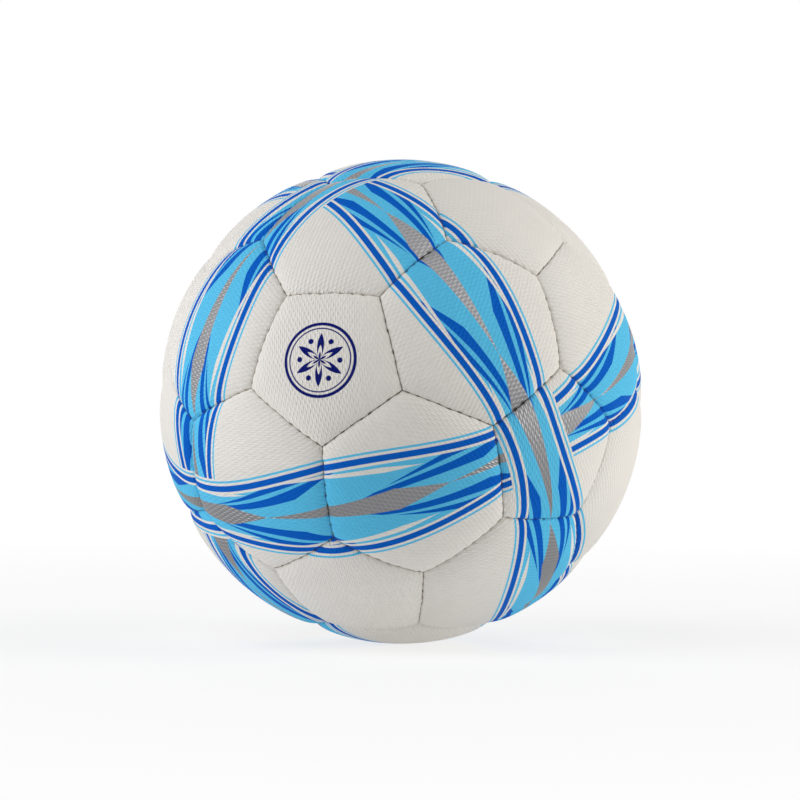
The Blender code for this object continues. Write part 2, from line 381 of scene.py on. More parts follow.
pentagons = []
hexagons = []
for one in range(len(peaks)):
    near = [other for other in range(len(peaks)) if touching(one, other)]
    centre = peaks[one].normalized()
    pentagons.append((centre, in_order(centre, [cut_corner(one, other) for other in near])))
    for two in near:
        for three in near:
            if one < two < three and touching(two, three):
                centre = (peaks[one] + peaks[two] + peaks[three]).normalized()
                trio = (one, two, three)
                ring = [cut_corner(a, b) for a in trio for b in trio if a != b]
                hexagons.append((centre, in_order(centre, ring)))
pentagons.sort(key=from_the_top)
hexagons.sort(key=from_the_top)
panels = [(f"pentagon_panel_{n:02d}", *panel) for n, panel in enumerate(pentagons, 1)]
panels += [(f"hexagon_panel_{n:02d}", *panel) for n, panel in enumerate(hexagons, 1)]

# Printed laminate
# The cover is polyurethane leather on layers of cloth, rolled with a fine slanting grain and
# screen-printed flat. Three flared sashes of blue blades go round the ball, over and under each
# other, and a rosette fills each of two opposite pentagons.
OFF_WHITE = (0.815, 0.784, 0.740)
SKY_BLUE = (0.110, 0.550, 0.850)
ROYAL_BLUE = (0.002, 0.115, 0.560)
NAVY = (0.005, 0.010, 0.150)
SILVER = (0.280, 0.280, 0.290)
PRINT_EDGE = 0.00012
PRINT_SLIP = 0.0004
SASH_HALF = 0.0205
SASH_FLARE = 0.0045
SASH_WAVES = 4
FIELD_INSET = 0.0072
SASH_LINES = (
    (0.0010, SKY_BLUE),
    (0.0020, OFF_WHITE),
    (0.0032, ROYAL_BLUE),
    (0.0060, OFF_WHITE),
    (FIELD_INSET, SKY_BLUE),
)
BLADES = 8
BLADE_STEP = 2 * math.pi * BALL_RADIUS / BLADES


def within(tree, distance, limit):
    """One where the distance is under the limit, and nought beyond it, with a short soft edge."""
    left = maths(tree, "SUBTRACT", limit, distance)
    return ranged(tree, left, (-PRINT_EDGE, PRINT_EDGE), (0.0, 1.0))


sash = bpy.data.node_groups.new("flared sash", "ShaderNodeTree")
for name in ("Across", "Along"):
    sash.interface.new_socket(name, in_out="INPUT", socket_type="NodeSocketFloat")
sash.interface.new_socket("Colour", in_out="OUTPUT", socket_type="NodeSocketColor")
sash.interface.new_socket("Cover", in_out="OUTPUT", socket_type="NodeSocketFloat")
sash.interface.new_socket("Silver", in_out="OUTPUT", socket_type="NodeSocketFloat")
given = sash.nodes.new("NodeGroupInput").outputs
across = maths(sash, "ABSOLUTE", given["Across"])
swing = maths(sash, "COSINE", maths(sash, "MULTIPLY", given["Along"], SASH_WAVES / BALL_RADIUS))
edge = maths(sash, "MULTIPLY_ADD", swing, -SASH_FLARE, SASH_HALF)
inset = maths(sash, "SUBTRACT", edge, across)


def stroke(start, end, width, phase, widest):
    """A long stroke on both sides of the sash, pointed at both ends.

    It runs from one share of the sash's width to another, and is widest at a share of its length.
    """
    steps = maths(sash, "MULTIPLY_ADD", given["Along"], 1 / BLADE_STEP, phase)
    stage = maths(sash, "FRACT", steps)
    middle = maths(sash, "MULTIPLY", maths(sash, "MULTIPLY_ADD", stage, end - start, start), edge)
    away = maths(sash, "ABSOLUTE", maths(sash, "SUBTRACT", across, middle))
    opening = maths(sash, "MULTIPLY", stage, width / widest)
    closing = maths(sash, "MULTIPLY_ADD", stage, -width / (1 - widest), width / (1 - widest))
    inked = within(sash, away, maths(sash, "MINIMUM", opening, closing))
    return maths(sash, "MULTIPLY", inked, within(sash, FIELD_INSET, inset))


colour = OFF_WHITE
for start, paint in SASH_LINES:
    colour = ink(sash, colour, within(sash, start, inset), paint)
blade = stroke(start=0.80, end=0.10, width=0.0056, phase=0.0, widest=0.30)
vein = stroke(start=0.78, end=0.16, width=0.0011, phase=0.0, widest=0.45)
glint = stroke(start=0.55, end=0.75, width=0.0012, phase=0.4, widest=0.20)
silver = stroke(start=0.0, end=0.0, width=0.0050, phase=0.5, widest=0.28)
for mask, paint in ((blade, ROYAL_BLUE), (vein, SKY_BLUE), (glint, OFF_WHITE), (silver, SILVER)):
    colour = ink(sash, colour, mask, paint)
put(sash, "NodeGroupOutput", colour, within(sash, 0.0, inset), silver)

cover, tree, skin, place = new_finish("printed cover")
slip = put(tree, "ShaderNodeAttribute", attribute_name="print_slip").outputs["Vector"]
printed = put(tree, "ShaderNodeVectorMath", place, slip, operation="ADD").outputs[0]
outward = put(tree, "ShaderNodeVectorMath", printed, operation="NORMALIZE").outputs[0]


def along_axis(axis):
    product = put(tree, "ShaderNodeVectorMath", outward, tuple(axis), operation="DOT_PRODUCT")
    return product.outputs["Value"]


# The three sashes lie in planes at right angles, with a pentagon in the middle of one white field
SASH_LEAN = math.asin(1 / math.sqrt(3))
SASH_TWIST = math.radians(-12)
BADGE_PANEL = 3
badge = pentagons[BADGE_PANEL][0]
badge_up = (Vector((0, 0, 1)) - badge * badge.z).normalized()
badge_side = badge_up.cross(badge)
sash_axes = []
for third in range(3):
    angle = SASH_TWIST + third * 2 * math.pi / 3
    outwards = badge_up * math.cos(angle) + badge_side * math.sin(angle)
    sash_axes.append(badge * math.sin(SASH_LEAN) + outwards * math.cos(SASH_LEAN))
layers = []
for third in range(3):
    side = along_axis(sash_axes[third])
    ahead = along_axis(sash_axes[(third + 1) % 3])
    quarter = along_axis(sash_axes[(third + 2) % 3])
    band = put(tree, "ShaderNodeGroup", node_tree=sash)
    tree.links.new(maths(tree, "MULTIPLY", side, BALL_RADIUS), band.inputs["Across"])
    turn = maths(tree, "ARCTAN2", quarter, ahead)
    tree.links.new(maths(tree, "MULTIPLY", turn, BALL_RADIUS), band.inputs["Along"])
    layers.append(band.outputs)
colour = OFF_WHITE
silver = 0.0
for third in range(3):
    layer = layers[third]
    free = maths(tree, "SUBTRACT", 1.0, layers[(third + 2) % 3]["Cover"])
    colour = ink(tree, colour, maths(tree, "MULTIPLY", layer["Cover"], free), layer["Colour"])
    silver = maths(tree, "MAXIMUM", silver, maths(tree, "MULTIPLY", layer["Silver"], free))

# A rosette drawn with compasses, in two rings, with a dot between petals; the far pentagon has one too
ROSETTE_RINGS = ((0.0166, NAVY), (0.0152, OFF_WHITE), (0.0142, NAVY), (0.0136, OFF_WHITE))
PETALS = 6
PETAL_REACH = 0.0118
PETAL_HEART = 0.55
PETAL_VEIN = 0.30
DOT_PLACE = 0.0092
DOT_RADIUS = 0.0012
facing = maths(tree, "ABSOLUTE", along_axis(badge))
reach = maths(tree, "MULTIPLY", maths(tree, "ARCCOSINE", facing), BALL_RADIUS)
for radius, paint in ROSETTE_RINGS:
    colour = ink(tree, colour, within(tree, reach, radius), paint)
turn = maths(tree, "ARCTAN2", along_axis(badge_side), along_axis(badge_up))
sector = maths(tree, "PINGPONG", turn, math.pi / PETALS)
bend = maths(tree, "COSINE", maths(tree, "ADD", sector, 2 * math.pi / PETALS))
petal = maths(tree, "MULTIPLY", bend, 2 * PETAL_REACH)
colour = ink(tree, colour, within(tree, reach, petal), NAVY)
for share, paint in ((PETAL_HEART, OFF_WHITE), (PETAL_VEIN, NAVY)):
    colour = ink(tree, colour, within(tree, reach, maths(tree, "MULTIPLY", petal, share)), paint)
between = maths(tree, "COSINE", maths(tree, "SUBTRACT", math.pi / PETALS, sector))
square = maths(tree, "MULTIPLY_ADD", reach, reach, DOT_PLACE ** 2)
product = maths(tree, "MULTIPLY", maths(tree, "MULTIPLY", reach, between), -2 * DOT_PLACE)
from_dot = maths(tree, "SQRT", maths(tree, "MAXIMUM", maths(tree, "ADD", square, product), 0.0))
colour = ink(tree, colour, within(tree, from_dot, DOT_RADIUS), NAVY)

# The grain is rows of short slanting ridges on each panel's own map, turned as the panel was cut
GRAIN_LENGTH = 0.00434
GRAIN_ROW = 0.00104
GRAIN_HEIGHT = 0.00018
RISING_SHARE = 0.38
FALLING_SHARE = 0.34
RIB_SHARE = 0.32
MOTTLE_SCALE = 900.0
MOTTLE_DETAIL = 3.0
MOTTLE_SHARE = 0.5
MAP_SCALE = 0.1


def panel_map(tree):
    """The two directions on a panel's own flat map."""
    flat = put(tree, "ShaderNodeUVMap", uv_map="panel map").outputs[0]
    spread = put(tree, "ShaderNodeSeparateXYZ", flat).outputs
    return spread[0], spread[1]


east, north = panel_map(tree)
column = maths(tree, "MULTIPLY", east, 2 * math.pi * MAP_SCALE / GRAIN_LENGTH)
row = maths(tree, "MULTIPLY", north, math.pi * MAP_SCALE / GRAIN_ROW)
rising = maths(tree, "COSINE", maths(tree, "SUBTRACT", row, column))
falling = maths(tree, "COSINE", maths(tree, "ADD", row, column))
ribs = maths(tree, "COSINE", maths(tree, "MULTIPLY", row, 2.0))
grain = maths(tree, "MULTIPLY_ADD", rising, RISING_SHARE, maths(tree, "MULTIPLY", falling, FALLING_SHARE))
grain = maths(tree, "MULTIPLY_ADD", ribs, RIB_SHARE, grain)
mottle = noise(tree, place, MOTTLE_SCALE, MOTTLE_DETAIL)
raise_surface(tree, skin, maths(tree, "MULTIPLY_ADD", mottle, MOTTLE_SHARE, grain), GRAIN_HEIGHT)

# Painted shade darkens the grain's hollows, most of all on the silver, and painted shade with a tint of
# thread wax darkens the seams
HOLLOW_SHADE_BAND = (-1.0, 0.6)
PAINTED_HOLLOW_SHADE = (0.03, 0.03, 0.03)
HOLLOW_SHADE_SHARE = 0.10
SILVER_HOLLOW_SHADE_SHARE = 0.30
SEAM_WAX_AND_SHADE_TINT = (0.250, 0.195, 0.070)
WAX_AND_SHADE_SHARE = 0.42
CLOUD_SCALE = 45.0
CLOUD_DETAIL = 4.0
TONE_BAND = (0.25, 0.75)
TONE_RANGE = (0.98, 1.02)
COVER_DULLING = (0.3, 0.7)
COVER_ROUGHNESS = (0.56, 0.66)
COVER_GLOSS = 0.02
SILVER_POLISH = 0.16
SILVER_METAL = 0.75
# Painted shade: the colour is darkened where the grain is low, more strongly on the silver
hollow_shade = ranged(tree, grain, HOLLOW_SHADE_BAND, (1.0, 0.0))
painted_shade = maths(tree, "MULTIPLY", hollow_shade, maths(tree, "MULTIPLY_ADD", silver, SILVER_HOLLOW_SHADE_SHARE, HOLLOW_SHADE_SHARE))
colour = ink(tree, colour, painted_shade, PAINTED_HOLLOW_SHADE)
# Painted shade along the seams, with a tint of thread wax, read from each panel's points
shaded_seam = put(tree, "ShaderNodeAttribute", attribute_name="seam_wear").outputs["Fac"]
colour = ink(tree, colour, maths(tree, "MULTIPLY", shaded_seam, WAX_AND_SHADE_SHARE), SEAM_WAX_AND_SHADE_TINT)
cloudy = noise(tree, place, CLOUD_SCALE, CLOUD_DETAIL)
tone = put(tree, "ShaderNodeHueSaturation")
tree.links.new(ranged(tree, cloudy, TONE_BAND, TONE_RANGE), tone.inputs["Value"])
tree.links.new(colour, tone.inputs["Color"])
tree.links.new(tone.outputs[0], skin.inputs["Base Color"])
dull = ranged(tree, cloudy, COVER_DULLING, COVER_ROUGHNESS)
tree.links.new(maths(tree, "MULTIPLY_ADD", silver, -SILVER_POLISH, dull), skin.inputs["Roughness"])
tree.links.new(maths(tree, "MULTIPLY", silver, SILVER_METAL), skin.inputs["Metallic"])
skin.inputs["Specular IOR Level"].default_value = COVER_GLOSS

# Cloth lining behind the cover: woven cotton and polyester bonded with latex
LINING_THREADS = 1400.0
lining, tree, shader, place = new_finish("cloth lining")
woven(tree, shader, *panel_map(tree), LINING_THREADS * MAP_SCALE)

# Sewn panels
# Each panel is cut from the laminate, its sides are folded in and sewn to its neighbours, and the
# air draws it tight. The tree below folds each side over, sinks and opens it at every stitch, and
# leaves the unevenness of handwork.
SEAM_HALF = 0.00004
FOLD_WIDTH = 0.0011
FOLD_DEPTH = 0.00040
FOLD_POWER = 2.2
PANEL_CROWN = 0.0014
CROWN_REACH = 0.0035
PANEL_PILLOW = 0.0009
PILLOW_REACH = 0.0100
PUCKER_DEPTH = 0.00025
PUCKER_OPENING = 0.00020
PUCKER_REACH = 0.0012
PUCKER_POWER = 3.0
UNEVEN_SCALE = 160.0
UNEVEN_DETAIL = 1.0
UNEVEN_BAND = (0.35, 0.65)
UNEVEN_PULL = (0.3, 1.5)
SLACK = 0.0006
SLACK_SCALE = 130.0
SLACK_DETAIL = 2.0
SEAM_EASE = 0.00005
SEAM_WANDER = 0.00022
OPENING_DEPTH = 0.003
CORNER_OPENING = 0.00014
CORNER_REACH = 0.0011
CORNER_SOFTNESS = 0.0008
WAX_AND_SHADE_REACH = 0.00012
PANEL_WALL = 0.0032
FLANGE_DEPTH = 0.0074
FLANGE_WALL = 0.0024
FLOOR_HEIGHT = -0.10971
STITCHES = 9
side_length = BALL_RADIUS * (pentagons[0][1][0].angle(pentagons[0][1][1]))

sewing = bpy.data.node_groups.new("sewn panel", "GeometryNodeTree")
sewing.interface.new_socket("Geometry", in_out="INPUT", socket_type="NodeSocketGeometry")
panel_sizes = {
    "Fold Width": FOLD_WIDTH,
    "Fold Depth": FOLD_DEPTH,
    "Crown": PANEL_CROWN,
    "Crown Reach": CROWN_REACH,
    "Pillow": PANEL_PILLOW,
    "Stitch Pitch": side_length / STITCHES,
    "Pucker Depth": PUCKER_DEPTH,
    "Pucker Opening": PUCKER_OPENING,
    "Pucker Reach": PUCKER_REACH,
    "Opening Depth": OPENING_DEPTH,
    "Slack": SLACK,
    "Floor Height": FLOOR_HEIGHT,
}
for name in panel_sizes:
    sewing.interface.new_socket(name, in_out="INPUT", socket_type="NodeSocketFloat")
for name in ("Cover", "Lining"):
    sewing.interface.new_socket(name, in_out="INPUT", socket_type="NodeSocketMaterial")
sewing.interface.new_socket("Geometry", in_out="OUTPUT", socket_type="NodeSocketGeometry")
given = sewing.nodes.new("NodeGroupInput").outputs


def held(name, kind="FLOAT"):
    return put(sewing, "GeometryNodeInputNamedAttribute", name, data_type=kind).outputs["Attribute"]


def scaled(vector, by):
    moved = put(sewing, "ShaderNodeVectorMath", vector, operation="SCALE")
    sewing.links.new(by, moved.inputs["Scale"])
    return moved.outputs[0]


def fading(distance, reach):
    """One at no distance, falling away over this reach."""
    share = maths(sewing, "DIVIDE", distance, reach)
    return maths(sewing, "EXPONENT", maths(sewing, "MULTIPLY", share, -1.0))


from_seam = held("from_seam")
depth = held("depth")
place = put(sewing, "GeometryNodeInputPosition").outputs[0]
outward = put(sewing, "ShaderNodeVectorMath", place, operation="NORMALIZE").outputs[0]
share = maths(sewing, "DIVIDE", from_seam, given["Fold Width"])
curl = put(sewing, "ShaderNodeClamp", maths(sewing, "SUBTRACT", 1.0, share), 0.0, 1.0).outputs[0]
fold = maths(sewing, "MULTIPLY", maths(sewing, "POWER", curl, FOLD_POWER), given["Fold Depth"])
crown = maths(sewing, "MULTIPLY", fading(from_seam, given["Crown Reach"]), given["Crown"])
crown = maths(sewing, "MULTIPLY_ADD", held("pillow"), given["Pillow"], crown)
beat = maths(sewing, "DIVIDE", held("along_seam"), given["Stitch Pitch"])
wave = maths(sewing, "COSINE", maths(sewing, "MULTIPLY", beat, 2 * math.pi))
tug = maths(sewing, "POWER", maths(sewing, "MULTIPLY_ADD", wave, 0.5, 0.5), PUCKER_POWER)
close_by = fading(from_seam, given["Pucker Reach"])
pull = maths(sewing, "MULTIPLY", tug, close_by)
pucker = maths(sewing, "MULTIPLY", pull, given["Pucker Depth"])
lumps = noise(sewing, place, SLACK_SCALE, SLACK_DETAIL)
swell = maths(sewing, "MULTIPLY", maths(sewing, "SUBTRACT", lumps, 0.5), given["Slack"])
swell = maths(sewing, "MULTIPLY", swell, fading(from_seam, given["Crown Reach"]))
sunk = maths(sewing, "ADD", maths(sewing, "ADD", fold, crown), maths(sewing, "ADD", pucker, depth))
rise = maths(sewing, "SUBTRACT", swell, sunk)
patchy = noise(sewing, place, UNEVEN_SCALE, UNEVEN_DETAIL)
uneven = ranged(sewing, patchy, UNEVEN_BAND, UNEVEN_PULL)
opening = maths(sewing, "MULTIPLY", maths(sewing, "MULTIPLY", tug, uneven), given["Pucker Opening"])
opening = maths(sewing, "ADD", opening, held("seam_ease"))
opening = maths(sewing, "MULTIPLY", opening, close_by)
opening = maths(sewing, "MULTIPLY", opening, fading(depth, given["Opening Depth"]))
inward = scaled(held("seam_inward", "FLOAT_VECTOR"), opening)
shift = put(sewing, "ShaderNodeVectorMath", scaled(outward, rise), inward, operation="ADD")
moved = put(sewing, "GeometryNodeSetPosition", given["Geometry"])
sewing.links.new(shift.outputs[0], moved.inputs["Offset"])
pulled = put(sewing, "GeometryNodeInputPosition").outputs[0]
parts = put(sewing, "ShaderNodeSeparateXYZ", pulled).outputs
lowest = maths(sewing, "MAXIMUM", parts[2], given["Floor Height"])
floored = put(sewing, "ShaderNodeCombineXYZ", parts[0], parts[1], lowest).outputs[0]
settled = put(sewing, "GeometryNodeSetPosition", moved.outputs[0])
sewing.links.new(floored, settled.inputs["Position"])
smooth = put(sewing, "GeometryNodeSetShadeSmooth", settled.outputs[0])
whole = put(sewing, "GeometryNodeRealizeInstances", smooth.outputs[0])
covered = put(sewing, "GeometryNodeSetMaterial", whole.outputs[0])
sewing.links.new(given["Cover"], covered.inputs["Material"])
lined = put(sewing, "GeometryNodeSetMaterial", covered.outputs[0])
sewing.links.new(held("is_lining", "BOOLEAN"), lined.inputs["Selection"])
sewing.links.new(given["Lining"], lined.inputs["Material"])
put(sewing, "NodeGroupOutput", lined.outputs[0])


def made_by(tree, source, values):
    """The plain mesh that the tree makes from a mesh or a curve, its inputs set by their identifiers."""
    blank = add_piece("blank", source)
    modifier = blank.modifiers.new("made", "NODES")
    modifier.node_group = tree
    for item in tree.interface.items_tree:
        if item.in_out == "INPUT" and item.name in values:
            modifier[item.identifier] = values[item.name]
    bpy.context.view_layer.update()
    evaluated = blank.evaluated_get(bpy.context.evaluated_depsgraph_get())
    mesh = bpy.data.meshes.new_from_object(evaluated)
    bpy.data.objects.remove(blank)
    return mesh


STITCH_PHASE = (41, 67)
LENGTH_PHASE = (53, 29)
LENGTH_BEAT = 0.43


def seam_wander(along, middle):
    """How far, from minus one to one, the hand-sewn seam strays to a side at this place along it."""
    beat = math.pi * along * STITCHES / side_length
    by_stitch = math.sin(beat + STITCH_PHASE[0] * middle.x + STITCH_PHASE[1] * middle.y)
    by_length = math.sin(LENGTH_BEAT * beat + LENGTH_PHASE[0] * middle.y + LENGTH_PHASE[1] * middle.z)
    return (by_stitch + by_length) / 2 * math.cos(math.pi * along / side_length)


EASE_PHASE = (37, 59, 83)
FAR_FROM_SEAM = 1.0
FROM_SEAM = {"flange": 0.0, "lining": FAR_FROM_SEAM}
POINT_VALUES = ("from_seam", "along_seam", "depth", "seam_ease", "seam_wear", "pillow")


class Blank:
    """A panel's points before it is folded, ring by ring, with what the tree reads at each."""

    def __init__(self, centre, ring):
        count = len(ring)
        self.centre = centre
        self.ring = ring
        self.planes = [ring[k].cross(ring[(k + 1) % count]).normalized() for k in range(count)]
        self.apothem = BALL_RADIUS * self.planes[0].dot(centre)
        self.points = []
        self.rings = []
        self.held = {name: [] for name in POINT_VALUES}
        self.inward = []
        self.level = self.sag(centre * BALL_RADIUS)

    def add_point(self, point, inward, **values):
        self.points.append(point)
        self.inward.append(inward)
        for name, kept in self.held.items():
            kept.append(values.get(name, 0.0))

    def corner(self, k, offset):
        """The point at this corner that lies the offset inside both seams."""
        one = self.planes[k - 1]
        other = self.planes[k]
        shift = (one + other) * (offset / (1 + one.dot(other)))
        return self.ring[k] * math.sqrt(BALL_RADIUS ** 2 - shift.length_squared) + shift

    def nearness(self, point):
        """How far a point is from the seams, rounded off where two of them meet."""
        total = sum(math.exp(-plane.dot(point) / CORNER_SOFTNESS) for plane in self.planes)
        return max(-CORNER_SOFTNESS * math.log(total), 0.0)

    def sag(self, point):
        """How much all the seams draw the panel in at a point, each one fading with its distance."""
        return sum(math.exp(-plane.dot(point) / PILLOW_REACH) for plane in self.planes)

    def add_ring(self, offset, steps, depth=0.0, side="face", hole=0.0, share=1.0):
        """A ring this far inside the seams, with so many points a side.

        A share under one draws it in towards the hole.
        """
        self.rings.append((len(self.points), steps))
        if steps == 0:
            middle = self.centre * BALL_RADIUS
            self.add_point(middle, Vector((0, 0, 0)), from_seam=FAR_FROM_SEAM, depth=depth)
            return
        count = len(self.ring)
        for k in range(count):
            plane = self.planes[k]
            start = self.corner(k, offset)
            end = self.corner((k + 1) % count, offset)
            middle = (self.ring[k] + self.ring[(k + 1) % count]).normalized()
            tangent = plane.cross(middle)
            phase = EASE_PHASE[0] * middle.x + EASE_PHASE[1] * middle.y + EASE_PHASE[2] * middle.z
            ease = SEAM_EASE * abs(math.sin(phase))
            way = 1 if plane.to_tuple(3) > (-plane).to_tuple(3) else -1
            for step in range(steps):
                point = start.lerp(end, step / steps)
                flat = (point - plane * plane.dot(point)).normalized()
                point = flat * math.sqrt(BALL_RADIUS ** 2 - offset ** 2) + plane * offset
                if share < 1:
                    sideways = (point - self.centre * self.centre.dot(point)).normalized() * hole
                    rim = self.centre * math.sqrt(BALL_RADIUS ** 2 - hole ** 2) + sideways
                    point = rim.lerp(point, share).normalized() * BALL_RADIUS
                near = FROM_SEAM.get(side, self.nearness(point))
                along = math.asin(max(-1.0, min(1.0, flat.dot(tangent)))) * BALL_RADIUS
                wander = way * SEAM_WANDER * seam_wander(way * along, middle)
                nearest = min(other.dot(point) for other in self.planes)
                # Painted shade in the seam's crevice, with a tint of thread wax, fading away from the
                # seam
                wear = math.exp(-FROM_SEAM.get(side, nearest) / WAX_AND_SHADE_REACH)
                gape = CORNER_OPENING * math.exp((abs(along) - side_length / 2) / CORNER_REACH)
                self.add_point(
                    point,
                    plane if step else (self.planes[k - 1] + plane).normalized(),
                    from_seam=near,
                    along_seam=along,
                    depth=depth,
                    seam_ease=ease + wander + gape,
                    seam_wear=wear,
                    pillow=self.sag(point) - self.level,
                )

    def faces(self, closed):
        """Triangles between each ring and the next, and from the last to the first if it is closed."""
        count = len(self.ring)
        found = []
        pairs = list(zip(self.rings, self.rings[1:]))
        if closed:
            pairs.append((self.rings[-1], self.rings[0]))
        for (first, steps), (second, later_steps) in pairs:
            for k in range(count):
                here = 0
                there = 0
                while here < steps or there < later_steps:
                    a = first + (k * steps + here) % max(count * steps, 1)
                    b = second + (k * later_steps + there) % max(count * later_steps, 1)
                    ahead = (here + 1) / steps if here < steps else 2
                    later = (there + 1) / later_steps if there < later_steps else 2
                    if ahead < later:
                        here += 1
                        found.append((a, b, first + (k * steps + here) % (count * steps)))
                    else:
                        there += 1
                        found.append((a, b, second + (k * later_steps + there) % (count * later_steps)))
        return found


VALVE_PANEL = "hexagon_panel_09"
FACE_RINGS = 40
RING_POWER = 1.3
FOLD_RINGS = 9
FOLD_POINTS = 108
FLANGE_SHARES = (0.1, 0.3, 1.0)
LINING_SHARES = (0.7, 0.35)
LINING_POINTS = 14
HOLE_DIP = 0.0005
HOLE_DIP_RINGS = 1.5
HOLE_BLEND = 3
HOLE_PATTERN = 0.9
CUT_TURN = 137.5
SLIP_TURNS = (2.4, 3.7, 5.1)


def sew_panel(name, centre, ring, number):
    """One panel, cut at its own turn, folded and sewn, with a round hole if it is the valve's."""
    blank = Blank(centre, ring)
    hole = WASHER_HOLE if name == VALVE_PANEL else 0.0
    face_start = SEAM_HALF + FOLD_WIDTH
    face_end = blank.apothem * HOLE_PATTERN if hole else blank.apothem
    for step in range(FACE_RINGS + 1):
        share = step / FACE_RINGS
        offset = face_start + (face_end - face_start) * (1 - share) ** RING_POWER
        if hole:
            dip = HOLE_DIP * math.exp(-step / HOLE_DIP_RINGS)
            blank.add_ring(offset, FACE_RINGS, dip, "face", hole, min(share * HOLE_BLEND, 1.0))
        else:
            blank.add_ring(offset, step)
    for step in range(1, FOLD_RINGS + 1):
        turn = math.pi / 2 * (1 - step / FOLD_RINGS)
        blank.add_ring(SEAM_HALF + FOLD_WIDTH * (1 - math.cos(turn)), FOLD_POINTS)
    flange_reach = FLANGE_DEPTH - FOLD_DEPTH - PANEL_CROWN
    for share in FLANGE_SHARES:
        blank.add_ring(SEAM_HALF, FOLD_POINTS // 2, flange_reach * share, "flange")
    first_lining = len(blank.points)
    flange_back = SEAM_HALF + FLANGE_WALL
    blank.add_ring(flange_back, FACE_RINGS, FLANGE_DEPTH, "lining")
    blank.add_ring(flange_back, FACE_RINGS, PANEL_WALL, "lining")
    for share in LINING_SHARES:
        offset = blank.apothem - (blank.apothem - flange_back) * share
        points = FACE_RINGS if hole else int(LINING_POINTS * share)
        blank.add_ring(offset, points, PANEL_WALL, "lining")
    if hole:
        blank.add_ring(face_end, FACE_RINGS, PANEL_WALL, "lining", hole, 0.0)
    else:
        blank.add_ring(0.0, 0, PANEL_WALL)
    mesh = bpy.data.meshes.new(name)
    mesh.from_pydata(blank.points, [], blank.faces(bool(hole)))
    turn = math.radians(CUT_TURN * number)
    side = centre.orthogonal().normalized()
    up = centre.cross(side)
    axis_one = side * math.cos(turn) + up * math.sin(turn)
    axis_two = up * math.cos(turn) - side * math.sin(turn)
    flat = []
    for loop in mesh.loops:
        point = blank.points[loop.vertex_index]
        flat += [point.dot(axis_one) / MAP_SCALE + 0.5, point.dot(axis_two) / MAP_SCALE + 0.5]
    mesh.uv_layers.new(name="panel map").data.foreach_set("uv", flat)
    for title, values in blank.held.items():
        mesh.attributes.new(title, "FLOAT", "POINT").data.foreach_set("value", values)
    inward = [part for vector in blank.inward for part in vector]
    mesh.attributes.new("seam_inward", "FLOAT_VECTOR", "POINT").data.foreach_set("vector", inward)
    slip = [PRINT_SLIP * math.sin(number * turns) for turns in SLIP_TURNS] * len(blank.points)
    mesh.attributes.new("print_slip", "FLOAT_VECTOR", "POINT").data.foreach_set("vector", slip)
    inner = [min(polygon.vertices) >= first_lining for polygon in mesh.polygons]
    mesh.attributes.new("is_lining", "BOOLEAN", "FACE").data.foreach_set("value", inner)
    shape = bmesh.new()
    shape.from_mesh(mesh)
    bmesh.ops.recalc_face_normals(shape, faces=shape.faces)
    shape.to_mesh(mesh)
    shape.free()
    sewn = made_by(sewing, mesh, panel_sizes | {"Cover": cover, "Lining": lining})
    for title in ("from_seam", "along_seam", "depth", "seam_ease", "seam_inward", "pillow", "is_lining"):
        sewn.attributes.remove(sewn.attributes[title])
    panel = add_piece(name + "_cover", sewn)
    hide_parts(name)
    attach(panel, "ball")


for number, (name, centre, ring) in enumerate(panels):
    sew_panel(name, centre, ring, number)

# Seam thread
# Waxed polyester thread, drawn by hand through holes in both flanges: one length for each half
# and one to close the ball. Only its short crossings show, deep in the seam, one at each hole.
THREAD_RADIUS = 0.00042
THREAD_DEPTH = 0.0040
THREAD_SIDES = 6
THREAD_IN_SHADE = (0.30, 0.24, 0.16)
THREAD_PALE = (0.58, 0.51, 0.38)
THREAD_ROUGHNESS = 0.55
TWIST_SCALE = 2600.0
TWIST_DISTORTION = 1.5
TWIST_DETAIL = 1.0
TWIST_DEPTH = 0.00005
STITCH_HALF_SPAN = 0.0011
STITCH_SLANT = 0.0005
STITCH_RISE = 0.0004
STITCH_STEPS = 6

thread, tree, shader, place = new_finish("waxed thread")
twist = put(tree, "ShaderNodeTexWave", place, TWIST_SCALE, TWIST_DISTORTION, TWIST_DETAIL).outputs["Fac"]
# Painted shade: the thread is darker in the grooves of its twist
tree.links.new(ink(tree, THREAD_IN_SHADE, twist, THREAD_PALE), shader.inputs["Base Color"])
shader.inputs["Roughness"].default_value = THREAD_ROUGHNESS
raise_surface(tree, shader, twist, TWIST_DEPTH)

stitching = bpy.data.node_groups.new("row of stitches", "GeometryNodeTree")
stitching.interface.new_socket("Geometry", in_out="INPUT", socket_type="NodeSocketGeometry")
stitch_sizes = {
    "Thread Radius": THREAD_RADIUS,
    "Half Span": STITCH_HALF_SPAN,
    "Slant": STITCH_SLANT,
    "Rise": STITCH_RISE,
}
for name in stitch_sizes:
    stitching.interface.new_socket(name, in_out="INPUT", socket_type="NodeSocketFloat")
stitching.interface.new_socket("Stitches", in_out="INPUT", socket_type="NodeSocketInt")
stitching.interface.new_socket("Thread", in_out="INPUT", socket_type="NodeSocketMaterial")
stitching.interface.new_socket("Geometry", in_out="OUTPUT", socket_type="NodeSocketGeometry")
given = stitching.nodes.new("NodeGroupInput").outputs
low = maths(stitching, "MULTIPLY", given["Rise"], -1.0)
left = maths(stitching, "MULTIPLY", given["Half Span"], -1.0)
behind = maths(stitching, "MULTIPLY", given["Slant"], -1.0)
start = put(stitching, "ShaderNodeCombineXYZ", behind, left, low).outputs[0]
end = put(stitching, "ShaderNodeCombineXYZ", given["Slant"], given["Half Span"], low).outputs[0]
top = put(stitching, "ShaderNodeCombineXYZ", 0.0, 0.0, given["Rise"]).outputs[0]
arch = put(stitching, "GeometryNodeCurveQuadraticBezier", STITCH_STEPS, start, top, end)
